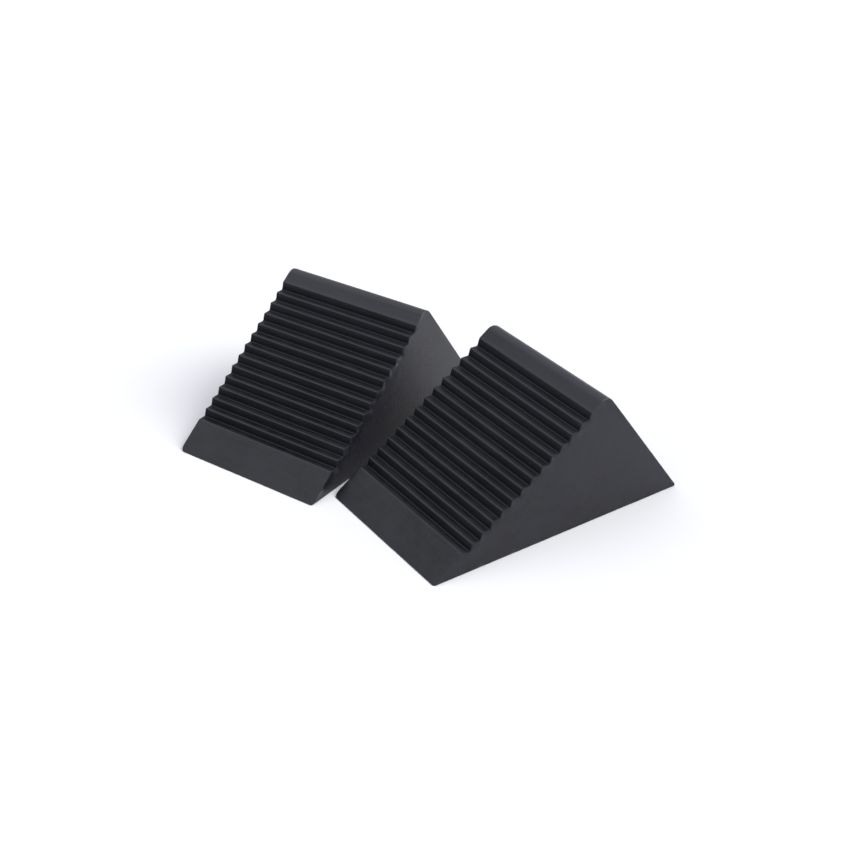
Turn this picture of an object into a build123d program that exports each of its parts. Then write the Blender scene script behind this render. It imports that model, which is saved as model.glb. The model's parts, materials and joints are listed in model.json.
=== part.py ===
"""A matched pair of solid rubber wheel chocks.

Frame: millimetres, +Z up, on the ground plane. The origin is the centre of the right chock's base.
+X runs from the right chock's thin toe to its heel, and +Y points to the left chock, which lies
turned beside it. Both chocks come out of one mould, so one function makes them.
"""

from build123d import *
import os
from math import cos, radians, sin, tan

# --- Wedge, seen from the side -------------------------------------------------------------------
base_length = 181.2  # toe face to heel corner, along the ground
width = 110.0  # across the tyre face
front_slope = 35.2  # degrees, the ribbed face that meets the tyre
back_slope = 54.6  # degrees, the plain face away from the tyre
toe_height = 0.2  # the front edge is nearly sharp
ridge_radius = 6.8  # rounded top, where the two slopes meet
heel_radius = 0.7  # rounded lower back edge

# --- Cross grooves in the tyre face, measured along the slope ------------------------------------
groove_count = 13
lower_land = 24.2  # plain strip from the toe to the first groove
land_overlap = 0.35  # how far that strip runs into the first groove, which is narrower by as much
upper_land = 14.4  # plain strip from the last groove to where the slopes would meet
groove_depth = 3.2  # before the valley is rounded
valley_radius = 1.1
crest_radius = 0.45

# --- Corners, seen from above --------------------------------------------------------------------
toe_left_radius = 3.8
toe_right_radius = 2.0
heel_corner_radius = 1.0

# --- Where the left chock lies -------------------------------------------------------------------
turn = 20.5  # degrees, its heel swings away from the right chock's left side
side_gap = 3.8  # from the right chock's left toe corner to the left chock's right side
toe_lead = 16.2  # how far its toe stands ahead of that corner


def slope_point(along, depth):
    """A point of the tyre face: `along` the slope from the toe, `depth` below its surface."""
    angle = radians(front_slope)
    x = -base_length / 2 + along * cos(angle) + depth * sin(angle)
    return (x, toe_height + along * sin(angle) - depth * cos(angle))


def side_outline():
    """The corners of the wedge's side view and the radius of each, from toe to heel and back."""
    front = tan(radians(front_slope))
    back = tan(radians(back_slope))
    ridge_run = (back * base_length - toe_height) / (front + back)
    slope_length = ridge_run / cos(radians(front_slope))
    first_groove = lower_land - land_overlap
    pitch = (slope_length - upper_land - first_groove) / groove_count

    corners = [((-base_length / 2, 0), 0), ((-base_length / 2, toe_height), 0)]
    corners.append((slope_point(lower_land, 0), crest_radius))
    for groove in range(groove_count):
        valley = first_groove + (groove + 0.5) * pitch
        corners.append((slope_point(valley, groove_depth), valley_radius))
        corners.append((slope_point(valley + pitch / 2, 0), crest_radius))
    corners.append((slope_point(slope_length, 0), ridge_radius))
    corners.append(((base_length / 2, 0), heel_radius))
    return corners


def plan_outline():
    """The corners of the base, seen from above, and the radius of each."""
    half_length = base_length / 2
    half_width = width / 2
    return [
        ((-half_length, half_width), toe_left_radius),
        ((-half_length, -half_width), toe_right_radius),
        ((half_length, -half_width), heel_corner_radius),
        ((half_length, half_width), heel_corner_radius),
    ]


def rounded_outline(corners):
    """A closed outline through the corners, each rounded to its own radius."""
    FilletPolyline([point for point, _ in corners], radius=[radius for _, radius in corners], close=True)


def make_chock(ground):
    """One chock, with its base on the plane `ground` and its toe towards that plane's -X."""
    side_view = Plane(ground.origin, x_dir=ground.x_dir, z_dir=-ground.y_dir)
    with BuildPart() as chock:
        with BuildSketch(side_view):
            with BuildLine():
                rounded_outline(side_outline())
            make_face()
        extrude(amount=width / 2, both=True)
        with BuildSketch(ground):
            with BuildLine():
                rounded_outline(plan_outline())
            make_face()
        extrude(amount=base_length, mode=Mode.INTERSECT)
    return chock


def left_ground():
    """The left chock's base plane, placed from the right chock's left toe corner."""
    along = Vector(cos(radians(turn)), sin(radians(turn)))
    across = Vector(-sin(radians(turn)), cos(radians(turn)))
    corner = Vector(-base_length / 2, width / 2)
    centre = corner + along * (base_length / 2 - toe_lead) + across * (width / 2 + side_gap)
    return Plane(centre, x_dir=along, z_dir=(0, 0, 1))


os.makedirs("parts", exist_ok=True)

right_chock = make_chock(Plane.XY)
right_chock.part.label = "right_chock"
export_step(right_chock.part, "parts/right_chock.step")

left_chock = make_chock(left_ground())
left_chock.part.label = "left_chock"
export_step(left_chock.part, "parts/left_chock.step")
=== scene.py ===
"""The looks of a pair of solid rubber wheel chocks: the moulded shape, the rubber, light and view.

Metres, in the frame of the CAD model: the ground is z = 0, the origin is the centre of the right
chock's base, +X runs from its toe to its heel and the left chock lies towards +Y.
"""

import json
from dataclasses import dataclass
from math import atan2, ceil, cos, pi, radians, sin, tan

import bpy
import numpy as np
from mathutils import Matrix, Vector, geometry, noise


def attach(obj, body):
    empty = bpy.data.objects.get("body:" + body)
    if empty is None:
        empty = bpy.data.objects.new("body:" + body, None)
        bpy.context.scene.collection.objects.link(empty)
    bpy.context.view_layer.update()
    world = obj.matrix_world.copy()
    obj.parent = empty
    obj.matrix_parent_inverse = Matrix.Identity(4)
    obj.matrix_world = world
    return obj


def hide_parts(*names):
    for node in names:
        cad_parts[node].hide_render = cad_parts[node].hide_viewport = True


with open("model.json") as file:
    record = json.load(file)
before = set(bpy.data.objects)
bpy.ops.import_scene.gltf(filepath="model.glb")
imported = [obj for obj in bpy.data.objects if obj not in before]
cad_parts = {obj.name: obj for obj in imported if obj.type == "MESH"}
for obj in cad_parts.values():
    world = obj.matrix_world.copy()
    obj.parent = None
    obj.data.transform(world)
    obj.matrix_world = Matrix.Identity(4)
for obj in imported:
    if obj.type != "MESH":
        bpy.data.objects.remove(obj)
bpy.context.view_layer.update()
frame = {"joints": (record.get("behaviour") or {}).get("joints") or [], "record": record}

MM = 0.001

# --- The moulding, seen from the side, as in the CAD model ---------------------------------------
BASE_LENGTH = 181.2 * MM
WIDTH = 110.0 * MM
FRONT_SLOPE = radians(35.2)
BACK_SLOPE = radians(54.6)
TOE_HEIGHT = 0.2 * MM
RIDGE_RADIUS = 6.8 * MM
HEEL_RADIUS = 0.7 * MM
GROOVE_COUNT = 13
LOWER_LAND = 24.2 * MM
LAND_OVERLAP = 0.35 * MM
UPPER_LAND = 14.4 * MM
GROOVE_DEPTH = 3.2 * MM
VALLEY_RADIUS = 1.1 * MM

# --- The moulding, seen from above ---------------------------------------------------------------
TOE_LEFT_RADIUS = 3.8 * MM
TOE_RIGHT_RADIUS = 2.0 * MM
HEEL_CORNER_RADIUS = 1.0 * MM

# --- How soft the rubber's edges are -------------------------------------------------------------
CREST_RADIUS = 0.62 * MM  # a little rounder than the CAD model's
TOE_RADIUS = 0.08 * MM
SIDE_EDGE = 0.5 * MM  # where a side face meets the outline
SIDE_EDGE_AT_TOE = 0.05 * MM
SIDE_EDGE_GROWTH = 0.3  # how fast it grows to its full size, away from the thin toe
SUPPORT = 0.16  # as a share of that rounding: the flat strip that starts each side face inside it

# --- Wear and finish -----------------------------------------------------------------------------
CREST_WEAR_AND_HIGHLIGHT = 0.5  # where 1 is the full paleness of wear and painted highlight; on the crests it is partly each
SIDE_EDGE_WEAR = 0.3
SIDE_EDGE_FROM = 0.2  # share of the side edge's rounding from which it counts as the edge
RIDGE_WEAR_AND_HIGHLIGHT_RISE = 5.0  # the ridge gets its full wear and painted highlight from a fifth of the way round
TREAD_ABOVE = 0.95  # a groove's surface that faces up more than this is its tread
RISER_BELOW = 0.78  # and one that faces up less than this is its riser
LAND, TREAD, RISER, SIDE = range(4)  # the finishes, in the order of a chock's materials

# --- Mesh density --------------------------------------------------------------------------------
FLAT_STEP = 2.4 * MM
GROOVE_STEP = 0.9 * MM
END_STEP = 0.2 * MM  # at the toe and the heel, where the plan view is rounded
STEP_GROWTH = 0.3
ARC_TURN = radians(12)
ARC_PIECES = 3  # at least
EDGE_PIECES = 5
SECTION_COUNT = 126
SIDE_GRID = 4.0 * MM
SAME_POINT = 1e-9

# --- Small faults of the moulding ----------------------------------------------------------------
WARP = 0.12 * MM  # slow waves in every face
WARP_LENGTH = 45 * MM
CREST_WAVE = 0.08 * MM  # unevenness along a crest
CREST_WAVE_LENGTH = 3 * MM
NICK = 0.3 * MM  # small bites out of a crest
NICK_LENGTH = 5 * MM
NICK_LEVEL = 0.35  # noise above this level is a nick
SEED_SHIFT = Vector((17.3, 5.1, 9.7))  # metres, so that each chock gets faults of its own


# =================================================================================================
# Shape
# =================================================================================================
def corner_list():
    """The side view's corners as (x, z, radius): toe, grooves, ridge, heel and the toe's underside."""
    front = tan(FRONT_SLOPE)
    back = tan(BACK_SLOPE)
    run = (back * BASE_LENGTH - TOE_HEIGHT) / (front + back)
    slope_length = run / cos(FRONT_SLOPE)
    first_groove = LOWER_LAND - LAND_OVERLAP
    pitch = (slope_length - UPPER_LAND - first_groove) / GROOVE_COUNT

    def on_slope(along, depth, radius):
        x = -BASE_LENGTH / 2 + along * cos(FRONT_SLOPE) + depth * sin(FRONT_SLOPE)
        return x, TOE_HEIGHT + along * sin(FRONT_SLOPE) - depth * cos(FRONT_SLOPE), radius

    corners = [(-BASE_LENGTH / 2, TOE_HEIGHT, TOE_RADIUS), on_slope(LOWER_LAND, 0, CREST_RADIUS)]
    for groove in range(GROOVE_COUNT):
        valley = first_groove + (groove + 0.5) * pitch
        corners.append(on_slope(valley, GROOVE_DEPTH, VALLEY_RADIUS))
        corners.append(on_slope(valley + pitch / 2, 0, CREST_RADIUS))
    corners.append(on_slope(slope_length, 0, RIDGE_RADIUS))
    corners.append((BASE_LENGTH / 2, 0, HEEL_RADIUS))
    corners.append((-BASE_LENGTH / 2, 0, TOE_RADIUS))
    return corners


def corner_arc(before, corner, after, radius):
    """The points of the arc that rounds a corner, and whether the corner stands out of the solid."""
    into = (corner - before) / np.linalg.norm(corner - before)
    out = (after - corner) / np.linalg.norm(after - corner)
    turn = atan2(into[0] * out[1] - into[1] * out[0], into @ out)
    start = corner - into * radius * tan(abs(turn) / 2)
    centre = start + np.array((-into[1], into[0])) * np.sign(turn) * radius
    arm = start - centre
    pieces = max(ARC_PIECES, ceil(abs(turn) / ARC_TURN))
    points = []
    for a in np.linspace(0, turn, pieces + 1):
        turned = (arm[0] * cos(a) - arm[1] * sin(a), arm[0] * sin(a) + arm[1] * cos(a))
        points.append(centre + turned)
    return points, turn < 0


def straight_run(start, end, longest):
    """The points between two arcs, closer together near the toe and the heel."""
    length = np.linalg.norm(end - start)
    points = []
    done = 0.0
    while True:
        x = start[0] + (end[0] - start[0]) * done / length
        from_end = BASE_LENGTH / 2 - abs(x)
        done += min(longest, END_STEP + STEP_GROWTH * max(from_end, 0))
        if done > length - END_STEP / 2:
            return points
        points.append(start + (end - start) * done / length)


def side_outline():
    """The closed outline, from the toe over the ridge: its points, and for each point how pale its wear
    and painted highlight make it, whether it is on a rounded edge such as a rib's crest, and whether it
    is among the grooves.
    """
    corners = corner_list()
    places = [np.array(c[:2]) for c in corners]
    first_crest = 1
    last_crest = 2 * GROOVE_COUNT + 1
    points = []
    wear_and_highlight = []
    crest = []
    grooved = []
    for i, (place, (_, _, radius)) in enumerate(zip(places, corners)):
        arc, convex = corner_arc(places[i - 1], place, places[(i + 1) % len(places)], radius)
        if points:
            run_grooved = first_crest < i <= last_crest
            run = straight_run(points[-1], arc[0], GROOVE_STEP if run_grooved else FLAT_STEP)
            points += run
            wear_and_highlight += [0.0] * len(run)
            crest += [False] * len(run)
            grooved += [run_grooved] * len(run)
        points += arc
        on_ridge = radius == RIDGE_RADIUS
        way_round = np.linspace(0, 1, len(arc))
        ridge_wear_and_highlight = np.minimum(RIDGE_WEAR_AND_HIGHLIGHT_RISE * np.minimum(way_round, 1 - way_round), 1)
        # the paleness of the ridge and the crests is partly wear and partly a painted highlight
        wear_and_highlight += list(ridge_wear_and_highlight) if on_ridge else [CREST_WEAR_AND_HIGHLIGHT * convex] * len(arc)
        crest += [convex and not on_ridge] * len(arc)
        grooved += [first_crest <= i <= last_crest] * len(arc)
    return np.array(points), np.array(wear_and_highlight), np.array(crest), np.array(grooved)


def groove_depth(points, grooved):
    """How far down a groove each outline point lies: 0 on a crest, 1 at the bottom."""
    from_toe = points - (-BASE_LENGTH / 2, TOE_HEIGHT)
    depth = from_toe @ (sin(FRONT_SLOPE), -cos(FRONT_SLOPE))
    return np.where(grooved, np.clip(depth / GROOVE_DEPTH, 0, 1), 0)


def strip_finish(points, crest, grooved):
    """The finish of the strip from each outline point to the next, and of its ends at the sides."""
    ahead = np.roll(points, -1, axis=0) - points
    facing_up = ahead[:, 0] / np.linalg.norm(ahead, axis=1)
    on_crest = crest & np.roll(crest, -1)
    in_groove = grooved & np.roll(grooved, -1)
    riser = in_groove & ~on_crest & (ahead[:, 1] > 0) & (facing_up < RISER_BELOW)
    tread = in_groove & ~on_crest & (facing_up > TREAD_ABOVE)
    face = np.select([riser, tread], [RISER, TREAD], LAND)
    return face, np.where(in_groove, RISER, LAND)


def unit(vectors):
    """Each row of the array as a direction of length 1."""
    return vectors / np.linalg.norm(vectors, axis=1)[:, None]


def outline_normals(points):
    """Each outline point's outward direction in the side view."""
    ahead = np.roll(points, -1, axis=0) - points
    behind = points - np.roll(points, 1, axis=0)
    along = unit(unit(ahead) + unit(behind))
    return np.stack((-along[:, 1], along[:, 0]), axis=1)


def corner_loss(from_end, radius):
    """What a rounded corner of the plan view takes off the half width, that far from its end."""
    from_end = np.clip(from_end, 0, radius)
    return radius - np.sqrt(radius**2 - (radius - from_end) ** 2)


def half_width(x, toe_radius):
    """Half the width at x, less what the rounded corners of the plan view take away."""
    toe_loss = corner_loss(x + BASE_LENGTH / 2, toe_radius)
    heel_loss = corner_loss(BASE_LENGTH / 2 - HEEL_RADIUS - x, HEEL_CORNER_RADIUS)
    return WIDTH / 2 - toe_loss - heel_loss


def sections():
    """Where each section of the tube lies, from the right side to the left.

    Each is (share of the flat width, share of the side edge's width, share of the edge's inset).
    """
    edge = [(sin(a), 1 - cos(a)) for a in np.linspace(0, pi / 2, EDGE_PIECES + 1)]
    middle = np.linspace(-1, 1, SECTION_COUNT)[1:-1]
    right = [(-1.0, -out, inset) for out, inset in reversed(edge)]
    left = [(1.0, out, inset) for out, inset in edge]
    return np.array(right + [(share, 0.0, 0.0) for share in middle] + left)


def tube(outline):
    """The outline carried across from the right side to the left, with both ends rounded.

    Returns the points, a row for each outline point, and how far over a side edge each column
    lies, from 0 to 1, but for the outermost two, which lie on the side faces.
    """
    normals = outline_normals(outline)
    from_toe = outline[:, 0] + BASE_LENGTH / 2
    edge = np.minimum(SIDE_EDGE, SIDE_EDGE_AT_TOE + SIDE_EDGE_GROWTH * from_toe)[:, None]

    flat, rim, inset = sections().T
    inset = np.hstack((1 + SUPPORT, inset, 1 + SUPPORT)) * edge
    y = flat * (WIDTH / 2 - edge) + rim * edge
    y = np.hstack((y[:, :1], y, y[:, -1:]))
    x = outline[:, :1] - normals[:, :1] * inset
    z = outline[:, 1:] - normals[:, 1:] * inset
    left = half_width(x, TOE_LEFT_RADIUS)
    right = half_width(x, TOE_RIGHT_RADIUS)
    y = y * np.where(y > 0, left, right) / (WIDTH / 2)
    return np.stack((x, y, z), axis=2), np.abs(rim)


def tube_faces(rows, columns):
    """The tube's faces, row by row, as numbers of its points."""
    around = np.arange(rows)[:, None]
    across = np.arange(columns - 1)[None, :]
    here = around * columns + across
    ahead = (around + 1) % rows * columns + across
    return np.stack((here, ahead, ahead + 1, here + 1), axis=2).reshape(-1, 4).tolist()


def face_finish(outline, crest, grooved, rim, face_count):
    """Each face's finish: first the tube's faces, then those of the two side faces."""
    on_face, at_edge = strip_finish(outline, crest, grooved)
    rounded = np.hstack((True, rim > 0, True))
    beside_edge = (rounded[:-1] | rounded[1:])[None, :]
    strips = np.where(beside_edge, at_edge[:, None], on_face[:, None])
    finish = np.full(face_count, SIDE, dtype=np.int32)
    finish[: strips.size] = strips.reshape(-1)
    return finish


def chock_mesh(name, seed):
    """One chock in its own frame: base on z = 0, centred, toe towards -x."""
    outline, outline_wear_and_highlight, crest, grooved = side_outline()
    grid, rim = tube(outline)
    rows, columns, _ = grid.shape
    points = grid.reshape(-1, 3)
    faces = tube_faces(rows, columns)
    for column, is_left in ((0, False), (columns - 1, True)):
        ring = [i * columns + column for i in range(rows)]
        inner, triangles = side_fill(points[ring])
        numbers = ring + list(range(len(points), len(points) + len(inner)))
        points = np.vstack((points, inner))
        for triangle in triangles:
            corners = [numbers[i] for i in triangle]
            faces.append(corners[::-1] if is_left else corners)

    def for_every_point(values):
        """The tube's values, and zero for the points inside the side faces."""
        return np.hstack((values.reshape(-1), np.zeros(len(points) - values.size, values.dtype)))

    on_side_edge = np.hstack((False, rim > SIDE_EDGE_FROM, False))[None, :]
    on_tube = np.hstack((False, rim < 1, False))[None, :]
    # paler crests, ridge and side edges: wear, and on the crests and the ridge a painted highlight
    wear_and_highlight = np.maximum(outline_wear_and_highlight[:, None] * on_tube, SIDE_EDGE_WEAR * on_side_edge)
    # painted shade, darker towards the bottom of each groove
    groove_shade = groove_depth(outline, grooved)[:, None] * ~on_side_edge
    uneven = crest[:, None] | on_side_edge

    mesh = bpy.data.meshes.new(name)
    mesh.from_pydata(points.tolist(), [], faces)
    finish = face_finish(outline, crest, grooved, rim, len(faces))
    mesh.polygons.foreach_set("material_index", finish)
    mesh.validate()
    mesh.shade_smooth()
    for label, values in (("wear_and_highlight", wear_and_highlight), ("groove_shade", groove_shade)):
        attribute = mesh.attributes.new(label, "FLOAT", "POINT")
        attribute.data.foreach_set("value", for_every_point(values).astype(np.float32))
    age(mesh, for_every_point(uneven), seed)
    return mesh


def side_fill(ring):
    """Fills a side face inside its ring: the points in it, and the triangles as seen from -y."""
    top = ring[: int(np.argmax(ring[:, 0])) + 1]
    columns = np.arange(ring[:, 0].min() + SIDE_GRID, ring[:, 0].max() - SIDE_GRID, SIDE_GRID)
    inner = []
    for n, x in enumerate(columns):
        height = np.interp(x, top[:, 0], top[:, 2])
        lowest = SIDE_GRID if n % 2 else SIDE_GRID / 2
        for z in np.arange(lowest, height - SIDE_GRID / 2, SIDE_GRID):
            inner.append((x, ring[len(ring) // 2, 1], z))
    flat = [Vector((p[0], p[2])) for p in ring] + [Vector((p[0], p[2])) for p in inner]
    loop = [(i, (i + 1) % len(ring)) for i in range(len(ring))]
    inside_only = 1
    _, _, triangles, origins, _, _ = geometry.delaunay_2d_cdt(flat, loop, [], inside_only, SAME_POINT)
    return np.array(inner), [[origins[i][0] for i in triangle] for triangle in triangles]


def age(mesh, uneven, seed):
    """Moves the points a little along their normals, and those of the uneven edges a little more."""
    shift = seed * SEED_SHIFT
    places = [vertex.co.copy() for vertex in mesh.vertices]
    normals = [vertex.normal.copy() for vertex in mesh.vertices]
    moved = []
    for place, normal, is_edge in zip(places, normals, uneven):
        spot = place + shift
        out = WARP * noise.noise(spot / WARP_LENGTH)
        if is_edge:
            out += CREST_WAVE * noise.noise(spot / CREST_WAVE_LENGTH)
            out -= NICK * max(noise.noise(spot / NICK_LENGTH) - NICK_LEVEL, 0)
        place = place + normal * out
        moved += (place.x, place.y, max(place.z, 0))
    mesh.vertices.foreach_set("co", moved)
    mesh.update()


# =================================================================================================
# Material
# =================================================================================================
# Noise: its scale per metre, its detail and roughness, and the levels stretched to 0 and 1
MOTTLE = {"scale": 130, "detail": 4, "roughness": 0.6, "low": 0.36, "high": 0.64}
CLOUD = {"scale": 24, "detail": 2, "roughness": 0.5, "low": 0.35, "high": 0.65}
LINES = {"scale": 560, "detail": 3, "roughness": 0.6, "low": 0.46, "high": 0.64}
SPECKS = {"scale": 800, "detail": 1, "roughness": 0.5, "low": 0.74, "high": 0.80}
GRAIN = {"scale": 1900, "detail": 3, "roughness": 0.6}
DIMPLES = {"scale": 320, "detail": 2, "roughness": 0.5}
LINE_SQUEEZE = 0.06  # of the pattern across the chock, which draws it out into lines
PATTERN_SHIFT = (0.7, 0.3, 0.0)  # metres, so that each chock gets a pattern of its own

# The upper part of a chock is paler, from UPPER_FROM to UPPER_TO of z + UPPER_LEAN x, in metres
UPPER_LEAN = 0.5
UPPER_FROM = 0.015
UPPER_TO = 0.075

# How far each pattern changes the colour, and what towards: a gain is times the pale colour
CLOUD_SHARE = 0.30
CLOUD_GAIN = 2.0
UPPER_SHARE = 0.45
UPPER_GAIN = 2.2
LINE_GAIN = 3.0
# the paler crests, ridge and side edges are partly wear and partly a painted highlight
WEAR_AND_HIGHLIGHT_SHARE = 0.75
SPECK_SHARE = 0.3
# painted shade at the bottom of the grooves
GROOVE_SHADE_COLOUR = (0.0008, 0.0009, 0.0014, 1)
# the colour of the wear, which also paints a highlight on the crests and the ridge
WEAR_AND_HIGHLIGHT_COLOUR = (0.045, 0.047, 0.053, 1)
SPECK_COLOUR = (0.11, 0.11, 0.12, 1)

MOTTLE_ROUGHNESS = 0.08  # how much rougher the pale mottling is
RELIEF = 0.4 * MM  # height of the relief before a finish's share of it
GRAIN_RELIEF = 0.35  # beside the dimples' 1
LINE_RELIEF = 0.15

# The left chock's side is a little glossier than the right one's
RIGHT_SIDE_SHINE = 0.35
LEFT_SIDE_SHINE = 0.47


@dataclass
class Finish:
    """How one kind of surface of the moulding looks."""

    name: str
    dark: tuple
    pale: tuple
    roughness: float
    shine: float
    lines: float  # how far the lines change the colour
    groove_shade: float  # how far the bottom of a groove is darkened: painted shade
    relief: float  # share of the relief that shows


def finishes(side_shine):
    """A chock's finishes, in the order of LAND, TREAD, RISER and SIDE."""
    return (
        Finish(
            "land",
            dark=(0.0042, 0.0045, 0.0062, 1),
            pale=(0.0120, 0.0124, 0.0154, 1),
            roughness=0.31,
            shine=0.42,
            lines=0.12,
            groove_shade=0.45,
            relief=0.14,
        ),
        Finish(
            "tread",
            dark=(0.0026, 0.0029, 0.0044, 1),
            pale=(0.0092, 0.0096, 0.0124, 1),
            roughness=0.36,
            shine=0.30,
            lines=0.60,
            groove_shade=0.45,
            relief=0.14,
        ),
        Finish(
            "riser",
            dark=(0.0040, 0.0043, 0.0058, 1),
            pale=(0.0115, 0.0120, 0.0150, 1),
            roughness=0.58,
            shine=0.14,
            lines=0.35,
            groove_shade=0.90,
            relief=0.14,
        ),
        Finish(
            "side",
            dark=(0.0030, 0.0032, 0.0062, 1),
            pale=(0.0076, 0.0078, 0.0124, 1),
            roughness=0.26,
            shine=side_shine,
            lines=0.10,
            groove_shade=0.0,
            relief=0.05,
        ),
    )


class Nodes:
    """A short way to add and link the nodes of a material or a world."""

    def __init__(self, owner, shader):
        owner.use_nodes = True
        self.tree = owner.node_tree
        self.shader = self.tree.nodes[shader]

    def add(self, kind, inputs=None, **settings):
        """A node of that kind; an input is a number, a colour or another node's output."""
        node = self.tree.nodes.new(kind)
        for key, value in settings.items():
            setattr(node, key, value)
        for key, value in (inputs or {}).items():
            self.set(node, key, value)
        return node

    def set(self, node, key, value):
        if isinstance(value, bpy.types.NodeSocket):
            self.tree.links.new(value, node.inputs[key])
        else:
            node.inputs[key].default_value = value

    def attribute(self, name):
        """The number that the mesh holds under that name."""
        return self.add("ShaderNodeAttribute", attribute_name=name).outputs["Fac"]

    def noise(self, place, scale, detail, roughness):
        """Noise from 0 to 1."""
        inputs = {"Vector": place, "Scale": scale, "Detail": detail, "Roughness": roughness}
        return self.add("ShaderNodeTexNoise", inputs).outputs["Fac"]

    def pattern(self, place, scale, detail, roughness, low, high):
        """Noise whose levels low to high are stretched to 0 to 1."""
        return self.remap(self.noise(place, scale, detail, roughness), low, high)

    def remap(self, value, low, high, to_low=0.0, to_high=1.0):
        """The value's range low to high stretched to to_low to to_high, and held there."""
        inputs = {"Value": value, "From Min": low, "From Max": high, "To Min": to_low, "To Max": to_high}
        return self.add("ShaderNodeMapRange", inputs, clamp=True).outputs["Result"]

    def math(self, operation, first, second, third=0.0):
        inputs = {0: first, 1: second, 2: third}
        return self.add("ShaderNodeMath", inputs, operation=operation).outputs[0]

    def mix(self, share, first, second):
        """The first colour, turned into the second by that share."""
        inputs = {0: share, 6: first, 7: second}
        return self.add("ShaderNodeMix", inputs, data_type="RGBA").outputs[2]


def brighter(colour, gain):
    """The colour times the gain."""
    return [gain * c for c in colour[:3]] + [1]


def rubber(name, seed, finish):
    """Moulded black rubber: mottled, with lines along the grooves, paler edges and dust specks, a
    painted highlight on the crests and the ridge, and painted shade at the bottom of the grooves.
    """
    material = bpy.data.materials.new(name)
    n = Nodes(material, "Principled BSDF")
    place = n.add("ShaderNodeTexCoord").outputs["Object"]
    axes = n.add("ShaderNodeSeparateXYZ", {"Vector": place}).outputs
    shift = [seed * distance for distance in PATTERN_SHIFT]
    place = n.add("ShaderNodeMapping", {"Vector": place, "Location": shift}).outputs["Vector"]
    squeeze = (1, LINE_SQUEEZE, 1)
    stretched = n.add("ShaderNodeMapping", {"Vector": place, "Scale": squeeze}).outputs["Vector"]

    mottle = n.pattern(place, **MOTTLE)
    lines = n.pattern(stretched, **LINES)
    towards_top = n.math("ADD", axes["Z"], n.math("MULTIPLY", axes["X"], UPPER_LEAN))
    upper = n.remap(towards_top, UPPER_FROM, UPPER_TO)
    colour = n.mix(mottle, finish.dark, finish.pale)
    for amount, share, towards in (
        (n.pattern(place, **CLOUD), CLOUD_SHARE, brighter(finish.pale, CLOUD_GAIN)),
        (upper, UPPER_SHARE, brighter(finish.pale, UPPER_GAIN)),
        (lines, finish.lines, brighter(finish.pale, LINE_GAIN)),
        # painted shade at the bottom of the grooves
        (n.attribute("groove_shade"), finish.groove_shade, GROOVE_SHADE_COLOUR),
        # wear, and a painted highlight on the crests and the ridge
        (n.attribute("wear_and_highlight"), WEAR_AND_HIGHLIGHT_SHARE, WEAR_AND_HIGHLIGHT_COLOUR),
        (n.pattern(place, **SPECKS), SPECK_SHARE, SPECK_COLOUR),
    ):
        colour = n.mix(n.math("MULTIPLY", amount, share), colour, towards)
    roughness = n.remap(mottle, 0, 1, finish.roughness, finish.roughness + MOTTLE_ROUGHNESS)
    n.set(n.shader, "Base Color", colour)
    n.set(n.shader, "Roughness", roughness)
    n.set(n.shader, "Specular IOR Level", finish.shine)

    grain = n.math("MULTIPLY", n.noise(place, **GRAIN), GRAIN_RELIEF)
    relief = n.math("ADD", grain, n.noise(place, **DIMPLES))
    relief = n.math("ADD", relief, n.math("MULTIPLY", lines, LINE_RELIEF))
    bump = {"Height": relief, "Strength": finish.relief, "Distance": RELIEF}
    n.set(n.shader, "Normal", n.add("ShaderNodeBump", bump).outputs["Normal"])
    return material


# =================================================================================================
# The two chocks
# =================================================================================================
UP = Vector((0, 0, 1))


def place_on(mount_name, along):
    """The place of a chock with its base centre on that mount and its heel in direction along."""
    mount = next(m for m in frame["record"]["mounts"] if m["name"] == mount_name)
    turn = Matrix((along, UP.cross(along), UP)).transposed().to_4x4()
    return Matrix.Translation(mount["pos_m"]) @ turn


def add_chock(name, node, body, at, seed, side_shine):
    """One visible chock, which stands for its CAD node and moves with its body."""
    piece = bpy.data.objects.new(name, chock_mesh(name, seed))
    bpy.context.scene.collection.objects.link(piece)
    for finish in finishes(side_shine):
        piece.data.materials.append(rubber(name + "_" + finish.name, seed, finish))
    piece.matrix_world = at
    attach(piece, body)
    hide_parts(node)


slide = next(j for j in frame["joints"] if j["name"] == "left_chock_slide")
right_place = place_on("right_base", Vector((1, 0, 0)))
left_place = place_on("left_base", Vector(slide["axis"]).cross(UP))
add_chock("right_chock_rubber", "right_chock", "right", right_place, 1, RIGHT_SIDE_SHINE)
add_chock("left_chock_rubber", "left_chock", "left", left_place, 2, LEFT_SIDE_SHINE)


# =================================================================================================
# Stage, light and camera
# =================================================================================================
FLOOR_SIZE = 40.0
FLOOR_DROP = 0.2 * MM  # below the chocks' bases, so that no two faces lie in one plane
FLOOR_COLOUR = (0.90, 0.90, 0.91, 1)
FLOOR_ROUGHNESS = 0.9
SKY_COLOUR = (0.96, 0.98, 1.06, 1)
SKY_STRENGTH = 0.44
GLOW_STRENGTH = 0.80  # at its middle, on top of the sky
GLOW_DIRECTION = (-0.45, 0.30, 0.84)
GLOW_POWER = 6.0  # the higher, the narrower
BACKDROP_STRENGTH = 1.0  # what the camera sees in place of the sky
KEY_DIRECTION = (0.55, -0.45, 0.70)
KEY_STRENGTH = 2.6
KEY_ANGLE = radians(50)
CAMERA_AZIMUTH = radians(-33.61)
CAMERA_ELEVATION = radians(31.53)
CAMERA_ROLL = radians(-0.46)
CAMERA_DISTANCE = 0.8976
CAMERA_AIM = Vector((-0.0345, 0.0350, 0.0402))
CAMERA_LENS = 62.18  # millimetres
CAMERA_SENSOR = 36.0


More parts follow.
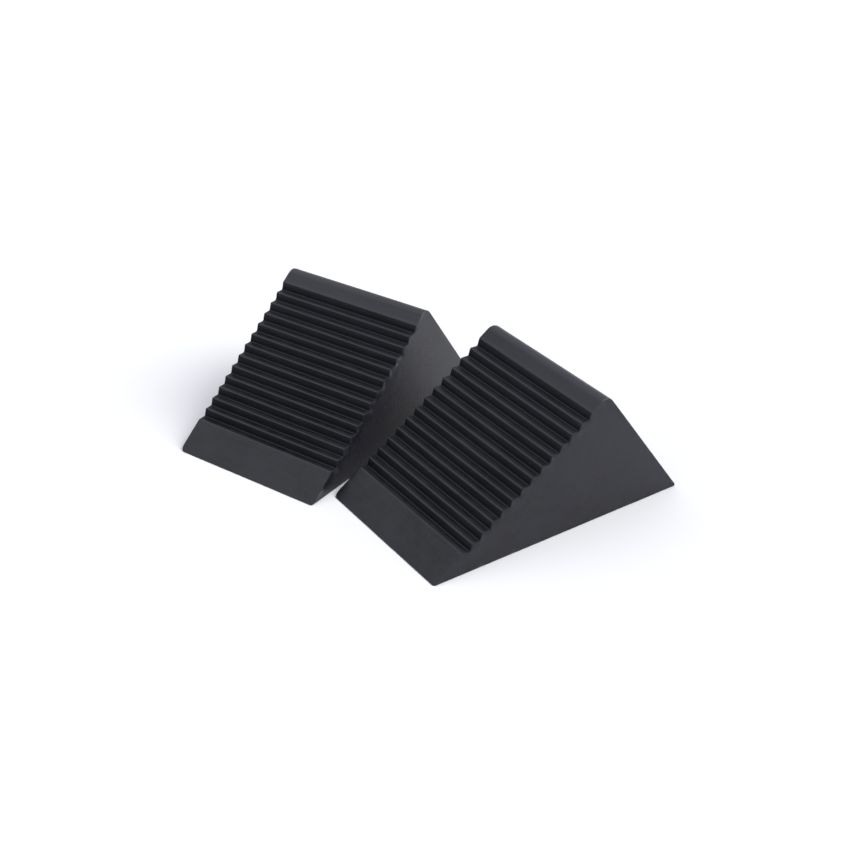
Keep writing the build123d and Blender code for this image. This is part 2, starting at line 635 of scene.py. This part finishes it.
def add_floor():
    """A plain pale floor."""
    material = bpy.data.materials.new("pale_floor")
    n = Nodes(material, "Principled BSDF")
    n.set(n.shader, "Base Color", FLOOR_COLOUR)
    n.set(n.shader, "Roughness", FLOOR_ROUGHNESS)
    bpy.ops.mesh.primitive_plane_add(size=FLOOR_SIZE, location=(0, 0, -FLOOR_DROP))
    floor = bpy.context.object
    floor.name = "floor"
    floor.data.materials.append(material)


def add_world():
    """Dim cool light from all round, a broad soft glow high on the left, and a white backdrop."""
    world = bpy.data.worlds.new("studio")
    n = Nodes(world, "Background")
    direction = n.add("ShaderNodeTexCoord").outputs["Generated"]
    towards = {0: direction, 1: Vector(GLOW_DIRECTION).normalized()}
    facing = n.add("ShaderNodeVectorMath", towards, operation="DOT_PRODUCT").outputs["Value"]
    glow = n.math("POWER", n.remap(facing, 0, 1), GLOW_POWER)
    light = n.math("MULTIPLY_ADD", glow, GLOW_STRENGTH, SKY_STRENGTH)
    seen = n.add("ShaderNodeLightPath").outputs["Is Camera Ray"]
    strength = n.add("ShaderNodeMix", {0: seen, 2: light, 3: BACKDROP_STRENGTH}).outputs[0]
    n.set(n.shader, "Strength", strength)
    n.set(n.shader, "Color", SKY_COLOUR)
    bpy.context.scene.world = world


def add_key_light():
    """A very soft light from high on the right, the same all over the floor."""
    light = bpy.data.lights.new("key_light", "SUN")
    light.angle = KEY_ANGLE
    light.energy = KEY_STRENGTH
    lamp = bpy.data.objects.new("key_light", light)
    bpy.context.scene.collection.objects.link(lamp)
    lamp.rotation_euler = (-Vector(KEY_DIRECTION)).to_track_quat("-Z", "Y").to_euler()


def add_camera():
    """The camera, aimed at a point between the two chocks."""
    camera = bpy.data.objects.new("camera", bpy.data.cameras.new("camera"))
    bpy.context.scene.collection.objects.link(camera)
    camera.data.lens = CAMERA_LENS
    camera.data.sensor_width = CAMERA_SENSOR
    flat = cos(CAMERA_ELEVATION)
    back = Vector((sin(CAMERA_AZIMUTH) * flat, -cos(CAMERA_AZIMUTH) * flat, sin(CAMERA_ELEVATION)))
    camera.location = CAMERA_AIM + back * CAMERA_DISTANCE
    look = (-back).to_track_quat("-Z", "Y").to_matrix().to_4x4()
    turn = look @ Matrix.Rotation(CAMERA_ROLL, 4, "Z")
    camera.matrix_world = Matrix.Translation(camera.location) @ turn
    bpy.context.scene.camera = camera


add_floor()
add_world()
add_key_light()
add_camera()
bpy.context.scene.view_settings.view_transform = "Standard"
